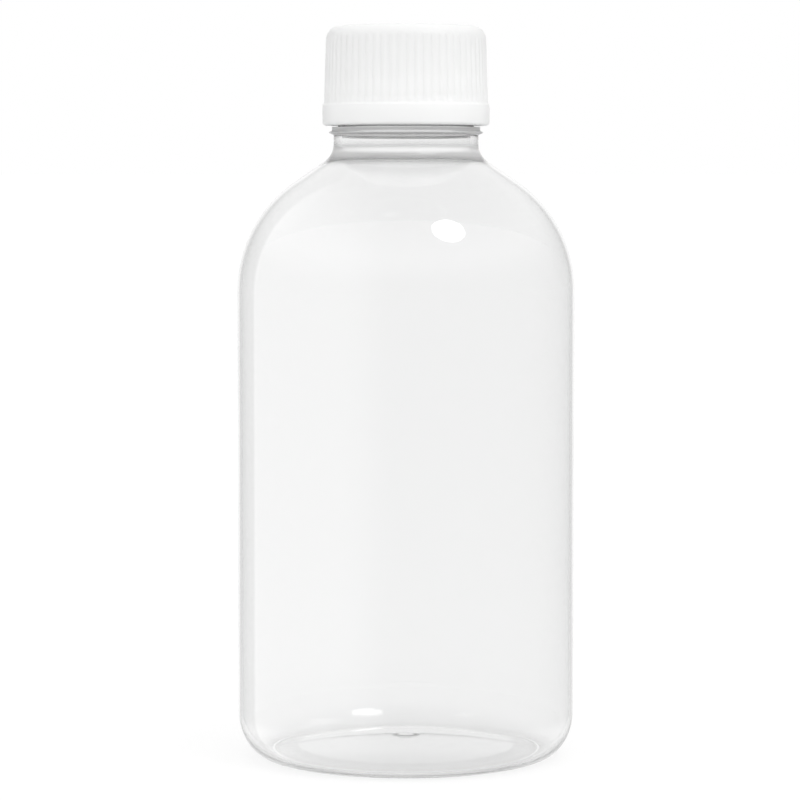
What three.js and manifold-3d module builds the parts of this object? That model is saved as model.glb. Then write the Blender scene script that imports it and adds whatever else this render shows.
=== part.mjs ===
// A clear blown bottle with a white ribbed screw cap and the foam liner inside the cap.
// Millimetres, +Z up. The origin is the middle of the circle that the bottle stands on.
import * as THREE from 'three';
import { mergeVertices } from 'three/addons/utils/BufferGeometryUtils.js';
import Module from 'manifold-3d';

// Body: a straight round wall on an elliptical heel
const bodyRadius = 31;
const bodyTop = 85.8; // height at which the shoulder starts
const heelWidth = 6;
const heelHeight = 8.5;
const wall = 0.6;

// Base: a narrow stand ring round a shallow dome, with the moulding gate's stub in its middle
const standWidth = 0.6;
const domeRise = 3;
const baseWall = 0.8;
const gateRadius = 1.6;
const gateDrop = 0.5;

// Shoulder and neck: a dome, a straight cone, a fillet, and a thin bead with a collar on it
const shoulderTurn = THREE.MathUtils.degToRad(56);
const coneRun = 5.2; // how far in the straight cone goes
const neckFillet = 3.9;
const neckLand = 1.7; // straight neck under the bead
const neckStep = 0.8; // neck's radius over the finish
const beadReach = 1;
const beadHeight = 0.7;
const beadCrest = 0.2; // flat on the bead's rim
const collarReach = 0.3; // collar's radius over the neck
const collarHeight = 0.65;
const neckWall = 1.4;
const innerFillet = 0.8; // where the bore opens into the shoulder

// Finish: the tube that the cap screws on
const boreRadius = 10.9;
const finishWall = 1.6;
const finishHeight = 15.5; // collar's top to the lip
const boreFlare = 4; // above the collar, where the bore has narrowed to the finish
const lipChamfer = 0.5;

// Cap and liner
const capGap = 0.3; // cap's foot above the collar
const threadRoom = 1.3; // space between the finish and the cap's wall
const capWall = 0.7; // at the top of the grip
const capPlate = 1.3;
const capEdge = 2.2; // radius of the top edge
const gripDraft = 0.35; // how much wider the grip is at its lower end
const ribCount = 60;
const ribDepth = 0.3;
const ribWidth = 0.8;
const footStep = 0.15; // foot band's radius over the ribs
const footHeight = 4.2;
const footEdge = 0.6;
const mouthChamfer = 0.4;
const linerThickness = 1.2;
const linerClearance = 0.25; // round the liner's rim
const seatGap = 0.2; // over and under the liner
const keeperReach = 0.5; // bead in the cap that keeps the liner in
const keeperHeight = 0.8;

// Fineness of the round forms
const chordError = 0.08;
const segments = 60;

const quarter = Math.PI / 2;

// Neck and cap radii, each built on the one inside it
const finishRadius = boreRadius + finishWall;
const neckRadius = finishRadius + neckStep;
const innerNeck = neckRadius - neckWall;
const capBore = finishRadius + threadRoom;
const gripTop = capBore + capWall;
const gripFoot = gripTop + gripDraft;
const footRadius = gripFoot + ribDepth + footStep;

// Shoulder: the fillet leaves the neck, runs into the cone, and the dome joins the cone to the body
const coneRise = quarter - shoulderTurn;
const filletRun = neckFillet * (1 - Math.cos(shoulderTurn));
const coneInner = neckRadius + filletRun;
const coneOuter = coneInner + coneRun;
const shoulderRadius = (bodyRadius - coneOuter) / (1 - Math.cos(shoulderTurn));
const shoulderAxis = bodyRadius - shoulderRadius;
const coneFoot = bodyTop + shoulderRadius * Math.sin(shoulderTurn);
const coneHead = coneFoot + coneRun * Math.tan(coneRise);
const neckFoot = coneHead + neckFillet * Math.sin(shoulderTurn);

// The same inside: a small fillet, tangent to the widened bore and to the inner cone
const innerShoulder = shoulderRadius - wall;
const innerConeOuter = shoulderAxis + innerShoulder * Math.cos(shoulderTurn);
const innerConeInner = innerNeck + innerFillet * (1 - Math.cos(shoulderTurn));
const innerConeFoot = bodyTop + innerShoulder * Math.sin(shoulderTurn);
const innerConeHead = innerConeFoot + (innerConeOuter - innerConeInner) * Math.tan(coneRise);
const innerNeckFoot = innerConeHead + innerFillet * Math.sin(shoulderTurn);

// Heights up the neck and the closure
const beadFoot = neckFoot + neckLand;
const beadTop = beadFoot + beadHeight;
const collarTop = beadTop + collarHeight;
const lip = collarTop + finishHeight;
const linerFoot = lip + seatGap;
const plateFoot = linerFoot + linerThickness + seatGap;
const capTop = plateFoot + capPlate;
const capFoot = collarTop + capGap;
const footTop = capFoot + footHeight;

const at = (radius, height) => new THREE.Vector2(radius, height);

// Points of an elliptical arc, in steps that keep the chords close to the curve
function arc(centre, width, height, from, to) {
  const step = 2 * Math.acos(1 - chordError / Math.max(width, height, 2 * chordError));
  const steps = Math.max(2, Math.ceil(Math.abs(to - from) / step));
  return new THREE.EllipseCurve(centre.x, centre.y, width, height, from, to, to < from).getPoints(steps);
}

// A solid of revolution about Z. The profile starts and ends on the axis, at its lower end first.
function revolve(profile, sides = segments) {
  return new THREE.LatheGeometry(profile, sides).rotateX(quarter);
}

// Radius of the arc that rises over a flat disc: the dome of the base
const domeRadius = (radius, rise) => (radius * radius + rise * rise) / (2 * rise);

// Dome of the base from its rim to the axis, lifted over the rim's height
function baseDome(rim, height) {
  const radius = domeRadius(rim, domeRise);
  const half = Math.asin(rim / radius);
  return arc(at(0, height + domeRise - radius), radius, radius, quarter - half, quarter);
}

function bottleGeometry() {
  const standRadius = bodyRadius - heelWidth;
  const standInner = standRadius - standWidth;
  const heelCentre = at(standRadius, heelHeight);
  const shoulderCentre = at(shoulderAxis, bodyTop);
  const beadRim = neckRadius + beadReach;
  const beadMiddle = beadFoot + beadHeight / 2;
  const collarRadius = neckRadius + collarReach;
  const innerFilletCentre = at(innerNeck + innerFillet, innerNeckFoot);
  const gateFoot = domeRise - gateDrop;

  const under = [
    at(0, gateFoot),
    at(gateRadius, gateFoot),
    ...baseDome(standInner, 0).filter((point) => point.x > gateRadius).reverse(),
  ];
  const outside = [
    ...arc(heelCentre, heelWidth, heelHeight, -quarter, 0),
    ...arc(shoulderCentre, shoulderRadius, shoulderRadius, 0, shoulderTurn),
    ...arc(at(neckRadius + neckFillet, neckFoot), neckFillet, neckFillet, Math.PI + shoulderTurn, Math.PI),
    at(neckRadius, beadFoot),
    at(beadRim, beadMiddle - beadCrest / 2),
    at(beadRim, beadMiddle + beadCrest / 2),
    at(collarRadius, beadTop),
    at(collarRadius, collarTop),
    at(finishRadius, collarTop),
    at(finishRadius, lip - lipChamfer),
    at(finishRadius - lipChamfer, lip),
  ];
  const inside = [
    at(boreRadius, lip),
    at(boreRadius, collarTop + boreFlare),
    at(innerNeck, beadFoot),
    ...arc(innerFilletCentre, innerFillet, innerFillet, Math.PI, Math.PI + shoulderTurn),
    ...arc(shoulderCentre, innerShoulder, innerShoulder, shoulderTurn, 0),
    ...arc(heelCentre, heelWidth - wall, heelHeight - baseWall, 0, -quarter),
    ...baseDome(standInner, baseWall),
  ];
  return revolve([...under, ...outside, ...inside]);
}

// Wall of the cap between the ribs: its radius at a height on the grip
const gripHead = capTop - capEdge;
function gripRadius(height) {
  return gripTop + (gripDraft * (gripHead - height)) / (gripHead - footTop);
}

function capBlank() {
  const keeperFoot = linerFoot - seatGap - keeperHeight;
  const inside = [
    at(0, plateFoot),
    at(capBore, plateFoot),
    at(capBore, keeperFoot + keeperHeight),
    at(capBore - keeperReach, keeperFoot + keeperHeight / 2),
    at(capBore, keeperFoot),
    at(capBore, capFoot + mouthChamfer),
  ];
  const outside = [
    at(capBore + mouthChamfer, capFoot),
    ...arc(at(footRadius - footEdge, capFoot + footEdge), footEdge, footEdge, -quarter, 0),
    at(footRadius, footTop - ribDepth - footStep),
    at(gripFoot, footTop),
    ...arc(at(gripTop - capEdge, gripHead), capEdge, capEdge, 0, quarter),
    at(0, capTop),
  ];
  return revolve([...inside, ...outside], ribCount);
}

// One grip rib: its side view, from the foot band up to its run-out in the top edge, given a thickness
function ribGeometry() {
  const root = capWall / 2;
  const foot = footTop - ribDepth;
  const runOut = gripHead - capEdge / 4;
  const end = gripHead + capEdge / 2;
  const side = new THREE.Shape([
    at(gripRadius(foot) - root, foot),
    at(gripRadius(foot) + ribDepth, foot),
    at(gripRadius(runOut) + ribDepth, runOut),
    at(gripTop - root, end),
  ]);
  return new THREE.ExtrudeGeometry(side, { depth: ribWidth, bevelEnabled: false })
    .translate(0, 0, -ribWidth / 2)
    .rotateX(quarter);
}

const wasm = await Module();
wasm.setup();

// Closed geometry as a solid: shared corners merged, triangles that closed to a line left out
function solid(geometry) {
  const bare = geometry.clone();
  bare.deleteAttribute('normal');
  bare.deleteAttribute('uv');
  const merged = mergeVertices(bare, 1e-4);
  const index = merged.index.array;
  const triVerts = [];
  for (let i = 0; i < index.length; i += 3) {
    const [a, b, c] = index.slice(i, i + 3);
    if (a !== b && b !== c && c !== a) triVerts.push(a, b, c);
  }
  const vertProperties = new Float32Array(merged.attributes.position.array);
  const mesh = new wasm.Mesh({ numProp: 3, vertProperties, triVerts: new Uint32Array(triVerts) });
  return new wasm.Manifold(mesh);
}

function geometryOf(body) {
  const { vertProperties, triVerts } = body.getMesh();
  const geometry = new THREE.BufferGeometry();
  geometry.setAttribute('position', new THREE.BufferAttribute(vertProperties, 3));
  geometry.setIndex(new THREE.BufferAttribute(triVerts, 1));
  geometry.computeVertexNormals();
  return geometry;
}

// The ribs stand on the middles of the blank's flats, one on each
function capGeometry() {
  const rib = ribGeometry();
  const pitch = (2 * Math.PI) / ribCount;
  let body = solid(capBlank());
  for (let i = 0; i < ribCount; i += 1) {
    body = body.add(solid(rib.clone().rotateZ((i + 0.5) * pitch)));
  }
  return geometryOf(body);
}

function linerGeometry() {
  const radius = capBore - linerClearance;
  return revolve([
    at(0, linerFoot),
    at(radius, linerFoot),
    at(radius, linerFoot + linerThickness),
    at(0, linerFoot + linerThickness),
  ]);
}

function piece(name, geometry, look) {
  const mesh = new THREE.Mesh(geometry, new THREE.MeshStandardMaterial({ metalness: 0, ...look }));
  mesh.name = name;
  return mesh;
}

const sanitizerBottle = new THREE.Group();
sanitizerBottle.add(
  piece('bottle', bottleGeometry(), { color: 0xeff4f3, roughness: 0.08, transparent: true, opacity: 0.3 }),
  piece('cap', capGeometry(), { color: 0xf5f6f5, roughness: 0.45 }),
  piece('liner', linerGeometry(), { color: 0xe8eae8, roughness: 0.8 }),
);

export default sanitizerBottle;
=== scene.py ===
import math

import bmesh
import bpy
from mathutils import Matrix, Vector


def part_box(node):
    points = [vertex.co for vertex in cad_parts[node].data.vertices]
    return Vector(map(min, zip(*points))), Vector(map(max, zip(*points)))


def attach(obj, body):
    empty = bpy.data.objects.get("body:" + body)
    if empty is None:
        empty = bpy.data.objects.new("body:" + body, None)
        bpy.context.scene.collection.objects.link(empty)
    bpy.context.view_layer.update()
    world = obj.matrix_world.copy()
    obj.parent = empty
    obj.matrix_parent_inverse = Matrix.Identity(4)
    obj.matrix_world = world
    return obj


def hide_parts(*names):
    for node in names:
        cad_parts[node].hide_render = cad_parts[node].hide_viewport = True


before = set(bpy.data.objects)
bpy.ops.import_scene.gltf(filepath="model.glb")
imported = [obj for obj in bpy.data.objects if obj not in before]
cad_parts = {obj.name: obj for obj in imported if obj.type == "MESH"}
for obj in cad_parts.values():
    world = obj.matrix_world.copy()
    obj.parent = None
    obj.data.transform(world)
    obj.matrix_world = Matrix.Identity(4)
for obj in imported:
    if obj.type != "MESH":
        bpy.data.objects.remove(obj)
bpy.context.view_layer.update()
scene = bpy.context.scene
mm = 0.001
mergeDistance = 0.001 * mm
fullTurn = 2 * math.pi
quarterTurn = math.pi / 2

_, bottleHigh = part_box("bottle")
capLow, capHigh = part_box("cap")
linerLow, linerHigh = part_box("liner")
print("frame loaded:", sorted(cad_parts))


def ease(value):
    value = min(max(value, 0), 1)
    return value * value * (3 - 2 * value)


# one wire in the XZ plane that grows from its tip, to be spun round Z
class Outline:
    def __init__(self, radius, height):
        self.mesh = bmesh.new()
        self.tip = self.mesh.verts.new((radius, 0, height))

    def run(self, radius, height, cuts=1):
        start = self.tip.co.copy()
        end = Vector((radius, 0, height))
        for cut in range(1, cuts + 1):
            self.tip = bmesh.ops.extrude_vert_indiv(self.mesh, verts=[self.tip])["verts"][0]
            self.tip.co = start.lerp(end, cut / cuts)

    # round a centre, anticlockwise seen from -Y; stretch makes the arc a part of an upright ellipse
    def sweep(self, radius, height, angle, steps, stretch=1):
        arc = [self.tip]
        self.tip.co.z = height + (self.tip.co.z - height) / stretch
        for step in range(steps):
            swept = bmesh.ops.spin(
                self.mesh, geom=[self.tip], cent=(radius, 0, height), axis=(0, -1, 0),
                angle=angle / steps, steps=1,
            )
            self.tip = next(part for part in swept["geom_last"] if isinstance(part, bmesh.types.BMVert))
            arc.append(self.tip)
        for vert in arc:
            vert.co.z = height + (vert.co.z - height) * stretch

    # towards a corner and round it, ready to go on to the point after it
    def corner(self, at, after, radius, steps=5):
        middle = Vector((at[0], 0, at[1]))
        back = (self.tip.co - middle).normalized()
        ahead = (Vector((after[0], 0, after[1])) - middle).normalized()
        half = back.angle(ahead) / 2
        start = middle + back * (radius / math.tan(half))
        centre = middle + (back + ahead).normalized() * (radius / math.sin(half))
        self.run(start.x, start.z)
        side = 1 if back.cross(ahead).y > 0 else -1
        self.sweep(centre.x, centre.z, side * (math.pi - 2 * half), steps)

    def spun(self, columns):
        mesh = self.mesh
        wire = mesh.verts[:] + mesh.edges[:]
        bmesh.ops.spin(
            mesh, geom=wire, cent=(0, 0, 0), axis=(0, 0, 1),
            angle=fullTurn, steps=columns, use_merge=True,
        )
        bmesh.ops.remove_doubles(mesh, verts=mesh.verts, dist=mergeDistance)
        bmesh.ops.recalc_face_normals(mesh, faces=mesh.faces)
        return mesh


def pushOut(vert, reach):
    radius = math.hypot(vert.co.x, vert.co.y)
    vert.co.x *= 1 + reach / radius
    vert.co.y *= 1 + reach / radius


# height of a screw thread's ridge at a place on its cylinder; the ridge fades at both ends
def threadReach(co, thread):
    angle = math.atan2(co.y, co.x) / fullTurn
    rise = (co.z - thread["foot"]) / thread["pitch"]
    along = round(rise - angle) + angle
    offset = abs(rise - along) * thread["pitch"]
    flank = (thread["rootWidth"] / 2 - offset) / (thread["rootWidth"] / 2 - thread["crestWidth"] / 2)
    ends = min(along, thread["turns"] - along) / thread["runOut"]
    return thread["depth"] * ease(flank) * ease(ends)


def addPiece(name, mesh, material, node, body):
    data = bpy.data.meshes.new(name)
    mesh.to_mesh(data)
    mesh.free()
    data.shade_smooth()
    data.materials.append(material)
    piece = bpy.data.objects.new(name, data)
    scene.collection.objects.link(piece)
    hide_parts(node)
    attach(piece, body)
    print("made", name, "with", len(data.polygons), "faces")


# a shader socket that adds, subtracts and multiplies like a number
class Flow:
    def __init__(self, tree, socket=None):
        self.tree = tree
        self.socket = socket

    def node(self, kind, settings=None, inputs=None, output=0):
        made = self.tree.nodes.new(kind)
        for name, value in (settings or {}).items():
            setattr(made, name, value)
        self.fill(made, inputs or {})
        return Flow(self.tree, made.outputs[output])

    # a flow is linked to its socket, a plain number or colour is set on it
    def fill(self, made, inputs):
        for name, value in inputs.items():
            if isinstance(value, Flow):
                self.tree.links.new(value.socket, made.inputs[name])
            else:
                made.inputs[name].default_value = value

    def maths(self, operation, first, second=0.0):
        return self.node("ShaderNodeMath", {"operation": operation}, {0: first, 1: second})

    def larger(self, other):
        return self.maths("MAXIMUM", self, other)

    def step(self, low, high):
        limits = {"Value": self, "From Min": low, "From Max": high}
        return self.node("ShaderNodeMapRange", {"interpolation_type": "SMOOTHSTEP"}, limits)

    def axes(self):
        return [self.node("ShaderNodeSeparateXYZ", None, {"Vector": self}, axis) for axis in "XYZ"]

    def noise(self, scale, detail):
        return self.node("ShaderNodeTexNoise", None, {"Vector": self, "Scale": scale, "Detail": detail})

    # one colour where the value is 0, the other where it is 1
    def between(self, low, high):
        return self.node("ShaderNodeMix", {"data_type": "RGBA"}, {0: self, 6: low, 7: high}, 2)

    # the value is a height in metres
    def bump(self):
        return self.node("ShaderNodeBump", None, {"Height": self, "Distance": 1.0, "Strength": 1.0})

    def __add__(self, other):
        return self.maths("ADD", self, other)

    def __sub__(self, other):
        return self.maths("SUBTRACT", self, other)

    def __rsub__(self, other):
        return self.maths("SUBTRACT", other, self)

    def __mul__(self, other):
        return self.maths("MULTIPLY", self, other)

    def __abs__(self):
        return self.maths("ABSOLUTE", self)

    __radd__ = __add__
    __rmul__ = __mul__


def newMaterial(name):
    material = bpy.data.materials.new(name)
    material.use_nodes = True
    surface = material.node_tree.nodes["Principled BSDF"]
    return material, Flow(material.node_tree), surface


# gives a second shader its share of the surface
def mixShader(flow, surface, share, second):
    first = Flow(flow.tree, surface.outputs[0])
    mixed = flow.node("ShaderNodeMixShader", None, {0: share, 1: first, 2: second})
    flow.fill(flow.tree.nodes["Material Output"], {"Surface": mixed})


clearShell = dict(
    colour=(0.937, 0.938, 0.9375, 1),
    refraction=1.57,
    roughness=0.012,
    haze=0.02,            # extra roughness where the wall has been handled
    hazeScale=45,
    hazeDetail=4,
    hazeRange=(0.5, 0.75),
    scuffFoot=0.16,       # extra roughness of what is rubbed or was hardly stretched in blowing
    scuffNeck=0.15,
    scuffBead=0.3,
    frostNeck=0.6,        # milky share of the neck and its bead
    frostBead=0.5,
    frostColour=(0.86, 0.86, 0.86, 1),
    footBand=(0.9 * mm, 1.1 * mm),        # from here on, heights at which these places begin and end
    neckFoot=(108.9 * mm, 111.6 * mm),
    neckHead=(111.4 * mm, 114.0 * mm),
    beadFoot=(114.2 * mm, 114.5 * mm),
    collarHead=(115.9 * mm, 116.3 * mm),
    outside=(12.6 * mm, 13.1 * mm),       # radius past which the neck is milky
    waviness=0.012 * mm,  # slow swell of a blown wall
    waveScale=38,
    waveDetail=1,
    seam=0.02 * mm,       # the mould's parting line, on both sides
    seamWidth=0.25 * mm,
)


def clearShellMaterial(look):
    material, flow, surface = newMaterial("clear_shell")
    coords = flow.node("ShaderNodeTexCoord", output="Object")
    x, y, z = coords.axes()
    foot = 1 - z.step(*look["footBand"])
    outside = (x * x + y * y).step(*(radius ** 2 for radius in look["outside"]))
    neck = outside * z.step(*look["neckFoot"]) * (1 - z.step(*look["neckHead"]))
    bead = outside * z.step(*look["beadFoot"]) * (1 - z.step(*look["collarHead"]))
    haze = coords.noise(look["hazeScale"], look["hazeDetail"]).step(*look["hazeRange"])
    rubbed = foot * look["scuffFoot"] + neck * look["scuffNeck"] + bead * look["scuffBead"]
    wave = coords.noise(look["waveScale"], look["waveDetail"])
    seam = 1 - abs(y).step(0, look["seamWidth"])
    relief = wave * look["waviness"] + seam * look["seam"]
    flow.fill(surface, {
        "Base Color": look["colour"],
        "Transmission Weight": 1,
        "IOR": look["refraction"],
        "Roughness": look["roughness"] + haze * look["haze"] + rubbed,
        "Normal": relief.bump(),
    })
    share = neck * look["frostNeck"] + bead * look["frostBead"]
    milky = flow.node("ShaderNodeBsdfDiffuse", None, {"Color": look["frostColour"]})
    mixShader(flow, surface, share, milky)
    return material


whiteCap = dict(
    colour=(0.92, 0.925, 0.92, 1),
    shade=(0.89, 0.895, 0.89, 1),
    roughness=0.36,
    roughnessSpread=0.14,
    cloudScale=70,
    cloudDetail=3,
    glow=0.5,             # light that the thin white wall lets through
    glowDepth=3 * mm,
    grain=0.012 * mm,     # spark-eroded mould texture
    grainScale=5200,
    grainDetail=1,
)


def whiteCapMaterial(look):
    material, flow, surface = newMaterial("white_cap")
    coords = flow.node("ShaderNodeTexCoord", output="Object")
    cloud = coords.noise(look["cloudScale"], look["cloudDetail"])
    grain = coords.noise(look["grainScale"], look["grainDetail"])
    flow.fill(surface, {
        "Base Color": cloud.between(look["shade"], look["colour"]),
        "Roughness": look["roughness"] + cloud * look["roughnessSpread"],
        "Subsurface Weight": look["glow"],
        "Subsurface Radius": (1, 1, 1),
        "Subsurface Scale": look["glowDepth"],
        "Normal": (grain * look["grain"]).bump(),
    })
    return material


foamLiner = dict(
    colour=(0.84, 0.85, 0.84, 1),
    # painted shade: the pits of the foam are coloured darker, as if shade fell in the pores
    poreShade=(0.68, 0.69, 0.68, 1),
    poreShadeRange=(0, 0.5),
    roughness=0.78,
    cellScale=1900,
    cellDepth=0.03 * mm,
)


def foamLinerMaterial(look):
    material, flow, surface = newMaterial("foam_liner")
    coords = flow.node("ShaderNodeTexCoord", output="Object")
    cells = flow.node("ShaderNodeTexVoronoi", None, {"Vector": coords, "Scale": look["cellScale"]})
    flow.fill(surface, {
        # painted shade in the pores: darker colour where the bump below makes its pits
        "Base Color": cells.step(*look["poreShadeRange"]).between(look["poreShade"], look["colour"]),
        "Roughness": look["roughness"],
        "Normal": (cells * look["cellDepth"]).bump(),
    })
    return material


# the thread that both pieces share: right-handed, so a turn to the left lifts the cap
thread = dict(
    pitch=4.23 * mm,
    rootWidth=2.3 * mm,
    crestWidth=0.7 * mm,
    runOut=0.12,              # of a turn, at each end
)

bottle = dict(
    columns=192,
    bodyRadius=bottleHigh.x,
    lip=bottleHigh.z,
    bodyTop=85.8 * mm,
    wall=0.6 * mm,
    wallCuts=8,
    heelWidth=6 * mm,
    heelHeight=8.5 * mm,
    heelSteps=28,
    standWidth=0.6 * mm,
    standBend=1 * mm,
    domeRise=3 * mm,
    domeSteps=18,
    baseWall=0.8 * mm,
    gateRadius=1.6 * mm,
    gateDrop=0.5 * mm,
    gateBend=0.2 * mm,
    gateSteps=4,
    shoulderTurn=math.radians(56),
    shoulderSteps=36,
    coneRun=5.2 * mm,
    coneCuts=4,
    innerConeCuts=6,
    neckRadius=13.3 * mm,
    neckFillet=3.9 * mm,
    innerFillet=0.8 * mm,
    filletSteps=16,
    neckLand=1.7 * mm,
    neckWall=1.4 * mm,
    beadReach=1 * mm,
    beadHeight=0.7 * mm,
    beadBend=0.12 * mm,
    collarReach=0.3 * mm,
    collarHeight=0.65 * mm,
    finishRadius=12.5 * mm,
    finishRows=70,
    boreRadius=10.9 * mm,
    boreBend=0.5 * mm,
    boreFlare=4 * mm,         # from the collar up, where the bore has narrowed to the finish
    lipBend=0.45 * mm,
    threadDepth=0.95 * mm,
    threadTurns=1.6,
    threadBelowLip=1.9 * mm,
)
neckThreadFoot = bottle["lip"] - bottle["threadBelowLip"] - bottle["threadTurns"] * thread["pitch"]


def makeBottle(size, material):
    radius, wall, lip = size["bodyRadius"], size["wall"], size["lip"]
    turned, bodyTop = size["shoulderTurn"], size["bodyTop"]
    neckRadius, fillet = size["neckRadius"], size["neckFillet"]
    finish, bore = size["finishRadius"], size["boreRadius"]
    heelWidth, heelHeight = size["heelWidth"], size["heelHeight"]
    gateRadius, baseWall, standBend = size["gateRadius"], size["baseWall"], size["standBend"]
    standRadius = radius - heelWidth
    standInner = standRadius - size["standWidth"]

    # the dome of the base is a shallow arc, and the gate's stub hangs from its middle
    domeRadius = (standInner ** 2 + size["domeRise"] ** 2) / (2 * size["domeRise"])
    domeTurn = math.asin(standInner / domeRadius) - 2 * standBend / domeRadius
    gateTurn = math.asin(gateRadius / domeRadius)
    domeCentre = size["domeRise"] - domeRadius
    domeRim = (domeRadius * math.sin(domeTurn), domeCentre + domeRadius * math.cos(domeTurn) + baseWall)
    gateTop = domeCentre + domeRadius * math.cos(gateTurn)
    gateFoot = domeCentre + domeRadius - size["gateDrop"]

    # fillet, cone and dome of the shoulder, worked out from the neck
    coneInner = neckRadius + fillet * (1 - math.cos(turned))
    coneOuter = coneInner + size["coneRun"]
    shoulder = (radius - coneOuter) / (1 - math.cos(turned))
    shoulderAxis = radius - shoulder
    coneHead = bodyTop + shoulder * math.sin(turned) + size["coneRun"] / math.tan(turned)
    neckFoot = coneHead + fillet * math.sin(turned)
    beadFoot = neckFoot + size["neckLand"]
    beadTop = beadFoot + size["beadHeight"]
    beadMiddle = beadFoot + size["beadHeight"] / 2
    beadTip = neckRadius + size["beadReach"]
    collar, collarTop = neckRadius + size["collarReach"], beadTop + size["collarHeight"]

    # inside, the bore widens below the collar and turns into the cone with a small fillet
    innerShoulder = shoulder - wall
    innerConeFoot = bodyTop + innerShoulder * math.sin(turned)
    innerCone = (shoulderAxis + innerShoulder * math.cos(turned), innerConeFoot)
    innerNeck = neckRadius - size["neckWall"]
    innerFoot = innerCone[1] + (innerCone[0] - innerNeck) / math.tan(turned)
    flareTop = collarTop + size["boreFlare"]

    # outside, from the middle of the base to the lip
    line = Outline(0, gateFoot)
    line.corner((gateRadius, gateFoot), (gateRadius, gateTop), size["gateBend"], size["gateSteps"])
    line.run(gateRadius, gateTop)
    line.sweep(0, domeCentre, gateTurn - domeTurn, size["domeSteps"])
    line.corner((standInner, 0), (standRadius, 0), standBend)
    line.run(standRadius, 0)
    line.sweep(standRadius, heelHeight, quarterTurn, size["heelSteps"], heelHeight / heelWidth)
    line.run(radius, bodyTop, size["wallCuts"])
    line.sweep(shoulderAxis, bodyTop, turned, size["shoulderSteps"])
    line.run(coneInner, coneHead, size["coneCuts"])
    line.sweep(neckRadius + fillet, neckFoot, -turned, size["filletSteps"])
    bead = [
        (neckRadius, beadFoot), (beadTip, beadMiddle), (collar, beadTop),
        (collar, collarTop), (finish, collarTop), (finish, lip),
    ]
    for at, after in zip(bead, bead[1:]):
        line.corner(at, after, size["beadBend"])
    line.run(finish, lip - 2 * size["lipBend"], size["finishRows"])
    line.corner((finish, lip), (bore, lip), size["lipBend"])

    # inside, back down to the middle of the base
    line.corner((bore, lip), (bore, flareTop), size["lipBend"])
    line.corner((bore, flareTop), (innerNeck, beadFoot), size["boreBend"])
    line.corner((innerNeck, beadFoot), (innerNeck, innerFoot), size["boreBend"])
    line.corner((innerNeck, innerFoot), innerCone, size["innerFillet"], size["filletSteps"])
    line.run(*innerCone, size["innerConeCuts"])
    line.sweep(shoulderAxis, bodyTop, -turned, size["shoulderSteps"])
    line.run(radius - wall, heelHeight, size["wallCuts"])
    innerStretch = (heelHeight - baseWall) / (heelWidth - wall)
    line.sweep(standRadius, heelHeight, -quarterTurn, size["heelSteps"], innerStretch)
    line.corner((standInner, baseWall), domeRim, standBend)
    line.run(*domeRim)
    line.sweep(0, domeCentre + baseWall, domeTurn, size["domeSteps"])

    mesh = line.spun(size["columns"])
    ridge = dict(thread, foot=neckThreadFoot, depth=size["threadDepth"], turns=size["threadTurns"])
    slack = size["lipBend"] / 10
    for vert in mesh.verts:
        outside = math.hypot(vert.co.x, vert.co.y) > finish - slack
        if outside and collarTop + size["beadBend"] < vert.co.z < lip - size["lipBend"]:
            pushOut(vert, threadReach(vert.co, ridge))
    addPiece("clear_bottle", mesh, material, "bottle", "bottle")


cap = dict(
    columns=480,
    ribCount=60,
    ribDepth=0.16 * mm,       # about half of the solid's, whose ribs have square edges
    ribEnd=0.3,               # share of the top edge, from the top down, that has no ribs
    bore=13.8 * mm,
    wall=0.7 * mm,            # at the top of the grip, between the ribs
    draft=0.35 * mm,
    gripCuts=10,
    plate=1.3 * mm,
    plateBend=0.3 * mm,
    edge=2.2 * mm,
    edgeSteps=14,
    topCuts=3,
    footRadius=capHigh.x,
    footHeight=4.2 * mm,
    footEdge=0.6 * mm,
    footEdgeSteps=8,
    footStep=0.45 * mm,
    footBend=0.15 * mm,
    footBendSteps=4,
    mouthChamfer=0.4 * mm,
    keeperFoot=14.4 * mm,     # above the cap's foot
    keeperHeight=0.8 * mm,
    keeperReach=0.5 * mm,
    dimpleRadius=1.5 * mm,    # moulding gate in the middle of the top
    dimpleDepth=0.2 * mm,
    threadDepth=0.85 * mm,
    threadTurns=1.5,
    threadRows=56,
)


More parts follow.
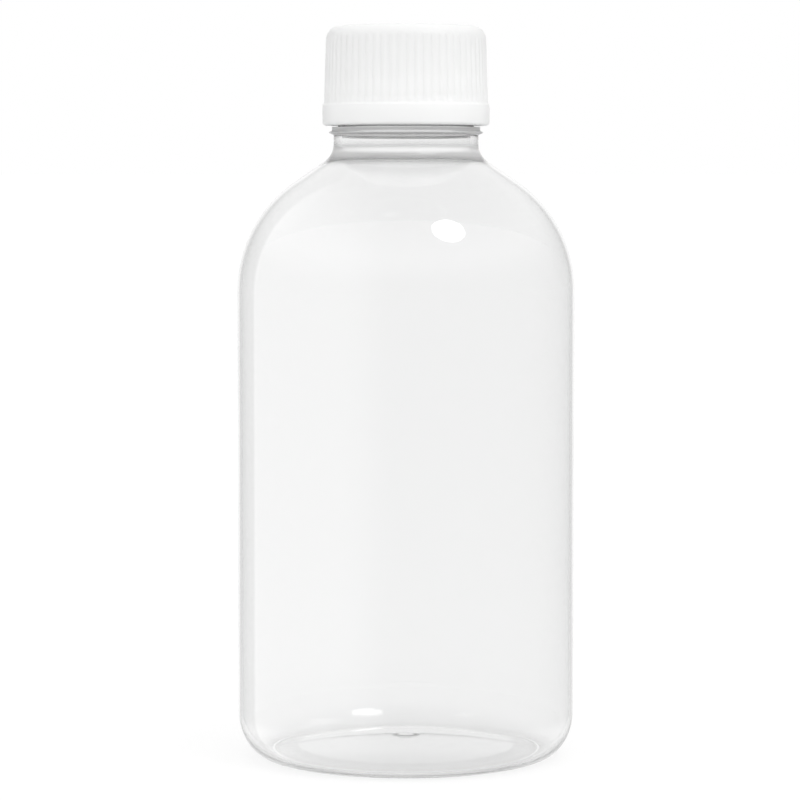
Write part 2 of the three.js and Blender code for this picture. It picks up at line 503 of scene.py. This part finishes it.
def makeCap(size, material):
    foot, top = capLow.z, capHigh.z
    bore, outer, step = size["bore"], size["footRadius"], size["footStep"]
    plateFoot, gripHead = top - size["plate"], top - size["edge"]
    gripTop = bore + size["wall"]
    gripFoot = gripTop + size["draft"]
    footTop, mouthTop = foot + size["footHeight"], foot + size["mouthChamfer"]
    keeperFoot = foot + size["keeperFoot"]
    keeperMiddle = keeperFoot + size["keeperHeight"] / 2
    keeperTop = keeperFoot + size["keeperHeight"]
    dimple, dimpleFoot = size["dimpleRadius"], top - size["dimpleDepth"]

    line = Outline(0, plateFoot)
    line.corner((bore, plateFoot), (bore, foot), size["plateBend"])
    line.run(bore, keeperTop)
    line.corner((bore - size["keeperReach"], keeperMiddle), (bore, keeperFoot), size["plateBend"])
    line.run(bore, keeperFoot)
    line.run(bore, mouthTop, size["threadRows"])
    line.run(bore + size["mouthChamfer"], foot)
    line.corner((outer, foot), (outer, footTop), size["footEdge"], size["footEdgeSteps"])
    line.corner((outer, footTop - step), (gripFoot, footTop), size["footBend"], size["footBendSteps"])
    line.run(gripFoot, footTop)
    line.run(gripTop, gripHead, size["gripCuts"])
    line.sweep(gripTop - size["edge"], gripHead, quarterTurn, size["edgeSteps"])
    line.run(2 * dimple, top, size["topCuts"])
    line.corner((dimple, top), (0, dimpleFoot), dimple / 2)
    line.run(0, dimpleFoot)

    mesh = line.spun(size["columns"])
    below = neckThreadFoot - thread["pitch"] / 2
    ridge = dict(thread, foot=below, depth=size["threadDepth"], turns=size["threadTurns"])
    boreLimit = bore + size["wall"] / 4
    gripLimit, gripBottom = gripTop - size["edge"] / 2, footTop - step / 4
    for vert in mesh.verts:
        distance = math.hypot(vert.co.x, vert.co.y)
        height = vert.co.z
        if distance < boreLimit and mouthTop < height < keeperFoot:
            pushOut(vert, -threadReach(vert.co, ridge))
        elif distance > gripLimit and height > gripBottom:
            # round ribs with sharp valleys, which run out in the top edge
            wave = abs(math.sin(math.atan2(vert.co.y, vert.co.x) * size["ribCount"] / 2))
            pushOut(vert, size["ribDepth"] * wave * ease((top - height) / size["edge"] - size["ribEnd"]))
    addPiece("ribbed_cap", mesh, material, "cap", "cap")


liner = dict(columns=120, rim=0.3 * mm)


def makeLiner(size, material):
    radius, low, high = linerHigh.x, linerLow.z, linerHigh.z
    line = Outline(0, low)
    line.corner((radius, low), (radius, high), size["rim"])
    line.corner((radius, high), (0, high), size["rim"])
    line.run(0, high)
    addPiece("foam_disc", line.spun(size["columns"]), material, "liner", "liner")


makeBottle(bottle, clearShellMaterial(clearShell))
makeCap(cap, whiteCapMaterial(whiteCap))
makeLiner(liner, foamLinerMaterial(foamLiner))


view = dict(
    distance=0.6,
    height=0.1074,
    sideways=-0.0011,
    tilt=math.radians(3.97),
    lens=146.8,
    sensor=36,
)


def makeCamera(place):
    data = bpy.data.cameras.new("camera")
    data.sensor_width = place["sensor"]
    data.lens = place["lens"]
    camera = bpy.data.objects.new("camera", data)
    camera.location = (place["sideways"], -place["distance"], place["height"])
    camera.rotation_euler = (quarterTurn - place["tilt"], 0, 0)
    scene.collection.objects.link(camera)
    scene.camera = camera


studio = dict(
    floorSize=400.0,
    floorColour=(0.9, 0.9, 0.9, 1),
    floorRoughness=0.9,
    floorGlow=0.84,           # what the eye sees of the floor before any light falls on it
    floorSeen=(0.2, 0.2, 0.2, 1),
    ambient=1.1,
    ambientRight=0.05,        # more from the right than from the left
    ambientFront=0.25,
    ambientLow=0.2,           # less from straight above
    darkSide=0.28,            # the room in a mirroring surface, where nothing below stands in it
    backdropEdge=(0.9, 0.97),
    leftPanel=0.75,
    panelEdge=(0.1, 0.75),
    panelEnd=(0.56, 0.62),
    overhead=0.6,
    overheadEdge=(0.1, 0.55),
    paperEdge=(0.1, 0.3),
    paperEnd=(0.55, 0.8),
    ceiling=0.62,             # straight above, seen through the clear wall
    ceilingEdge=(0.45, 0.9),
    keyPlace=(0.31, -0.35, 0.68),
    keyAim=(0.0, 0.0, 0.1),
    keySize=0.26,
    keyPower=0.75,
    bounces=32,               # light is mirrored to and fro inside the clear wall
    glossBounces=24,
)


# rays that the eye follows: straight on, off a gloss and through the clear wall
def seenRays(flow):
    rays = ("Is Camera Ray", "Is Glossy Ray", "Is Transmission Ray")
    return [flow.node("ShaderNodeLightPath", output=ray) for ray in rays]


def makeFloor(light):
    mesh = bmesh.new()
    bmesh.ops.create_grid(mesh, x_segments=1, y_segments=1, size=light["floorSize"] / 2)
    data = bpy.data.meshes.new("floor")
    mesh.to_mesh(data)
    mesh.free()
    floor = bpy.data.objects.new("floor", data)
    scene.collection.objects.link(floor)
    floor.visible_glossy = False  # the clear wall mirrors the room, not the paper

    material, flow, surface = newMaterial("floor")
    flow.fill(surface, {
        "Base Color": light["floorColour"],
        "Roughness": light["floorRoughness"],
        "Specular IOR Level": 0,
    })
    glow = flow.node("ShaderNodeEmission", None, {"Strength": light["floorGlow"]})
    lit = flow.node("ShaderNodeBsdfDiffuse", None, {"Color": light["floorSeen"]})
    seen = flow.node("ShaderNodeAddShader", None, {0: glow, 1: lit})
    camera, glossy, through = seenRays(flow)
    mixShader(flow, surface, camera.larger(glossy).larger(through), seen)
    data.materials.append(material)


def makeWorld(light):
    world = bpy.data.worlds.new("studio")
    scene.world = world
    world.use_nodes = True
    flow = Flow(world.node_tree)
    x, y, z = flow.node("ShaderNodeTexCoord", output="Generated").axes()
    left, down = 0 - x, 0 - z
    camera, glossy, through = seenRays(flow)
    soft = light["ambient"] + x * light["ambientRight"]
    soft = soft - y * light["ambientFront"] - z * light["ambientLow"]

    # what a gloss mirrors: white paper behind and below, a panel at the left and a soft light overhead
    white = 1 - light["darkSide"]
    backdrop = y.step(*light["backdropEdge"]) * white
    paper = down.step(*light["paperEdge"]) * (1 - down.step(*light["paperEnd"])) * white
    panel = left.step(*light["panelEdge"]) * (1 - y.step(*light["panelEnd"])) * light["leftPanel"]
    overhead = z.step(*light["overheadEdge"]) * light["overhead"]
    mirrored = light["darkSide"] + backdrop.larger(paper) + panel + overhead

    clear = 1 - z.step(*light["ceilingEdge"]) * (1 - light["ceiling"])
    level = soft + glossy * (mirrored - soft)
    level = level + through * (clear - level)
    level = level + camera * (1 - level)
    flow.fill(flow.tree.nodes["Background"], {"Color": (1, 1, 1, 1), "Strength": level})


def makeKey(light):
    data = bpy.data.lights.new("key", "AREA")
    data.shape = "DISK"
    data.size = light["keySize"]
    data.energy = light["keyPower"]
    lamp = bpy.data.objects.new("key", data)
    lamp.location = light["keyPlace"]
    aim = Vector(light["keyAim"]) - lamp.location
    lamp.rotation_euler = aim.to_track_quat("-Z", "Y").to_euler()
    lamp.visible_camera = False
    scene.collection.objects.link(lamp)


makeCamera(view)
makeFloor(studio)
makeWorld(studio)
makeKey(studio)
scene.view_settings.view_transform = "Standard"
scene.cycles.max_bounces = studio["bounces"]
scene.cycles.glossy_bounces = studio["glossBounces"]
scene.cycles.transmission_bounces = studio["bounces"]
print("studio ready")
